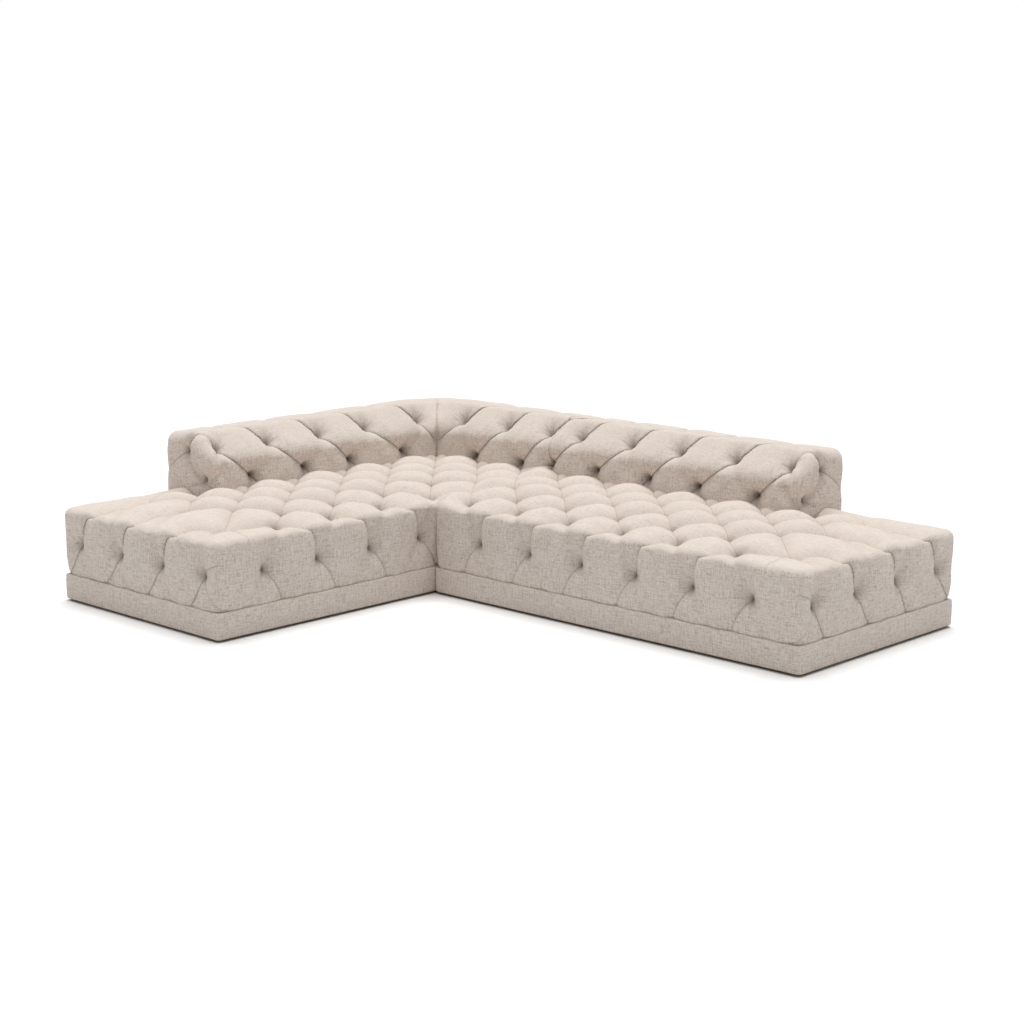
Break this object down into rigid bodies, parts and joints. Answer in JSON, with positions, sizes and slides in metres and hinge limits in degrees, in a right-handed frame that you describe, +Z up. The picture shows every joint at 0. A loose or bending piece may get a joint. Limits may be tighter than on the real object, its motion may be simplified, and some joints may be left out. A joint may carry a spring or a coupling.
{
  "type": "l-shaped sofa",
  "caption": "Low L-shaped sofa in two sections with deep diamond tufting over seat, sides and half-length backs, on an upholstered plinth",
  "frame": {"origin": "centre of the bounding box, at floor level", "axes": "+X runs along the right section away from the corner, +Y points to the back of the right section, +Z is up; the corner is at -X, +Y"},
  "size_m": [3.032, 2.26, 0.695],
  "materials": {
    "cover_fabric": "heathered linen-look weave, matt",
    "plinth_fabric": "heathered linen-look weave, matt",
    "dust_cloth": "thin spunbond cloth",
    "jute": "coarse felted pad",
    "foam": "open-cell foam",
    "twine": "waxed twine",
    "webbing": "woven elastic",
    "timber": "planed, unfinished",
    "plywood": "sanded, unfinished",
    "spring_steel": "dull drawn wire",
    "zinc_steel": "zinc plated",
    "bracket_steel": "zinc plated, satin",
    "clip_plastic": "moulded, satin",
    "glide_plastic": "moulded, satin"
  },
  "bodies": {
    "left_section": {"left_glides": "glide_plastic", "left_dust_cover": "dust_cloth", "left_plinth_boards": "timber", "left_plinth_blocks": "timber", "left_plinth_top": "plywood", "left_plinth_cover": "plinth_fabric", "left_seat_rails": "timber", "left_cross_rails": "timber", "left_corner_braces": "plywood", "left_springs": "spring_steel", "left_spring_clips": "clip_plastic", "left_spring_ties": "spring_steel", "left_deck_pad": "jute", "left_seat_foam": "foam", "left_tuft_ties": "twine", "left_seat_cover": "cover_fabric", "left_back_posts": "timber", "left_back_rails": "timber", "left_back_webbing": "webbing", "left_back_foam": "foam", "left_back_cover": "cover_fabric", "corner_back_posts": "timber", "corner_back_rails": "timber", "corner_back_webbing": "webbing", "corner_back_foam": "foam", "corner_back_cover": "cover_fabric", "left_frame_screws": "zinc_steel", "left_connector_screws": "zinc_steel", "left_connector_receivers": "bracket_steel"},
    "right_section": {"right_glides": "glide_plastic", "right_dust_cover": "dust_cloth", "right_plinth_boards": "timber", "right_plinth_blocks": "timber", "right_plinth_top": "plywood", "right_plinth_cover": "plinth_fabric", "right_seat_rails": "timber", "right_cross_rails": "timber", "right_corner_braces": "plywood", "right_springs": "spring_steel", "right_spring_clips": "clip_plastic", "right_spring_ties": "spring_steel", "right_deck_pad": "jute", "right_seat_foam": "foam", "right_tuft_ties": "twine", "right_seat_cover": "cover_fabric", "right_back_posts": "timber", "right_back_rails": "timber", "right_back_webbing": "webbing", "right_back_foam": "foam", "right_back_cover": "cover_fabric", "right_frame_screws": "zinc_steel", "right_connector_screws": "zinc_steel", "right_connector_tongues": "bracket_steel"}
  },
  "joints": [
    {"name": "right_section_lift", "type": "slide", "parent": "left_section", "child": "right_section", "axis": [0, 0, 1], "range_m": [0, 0.06]}
  ]
}
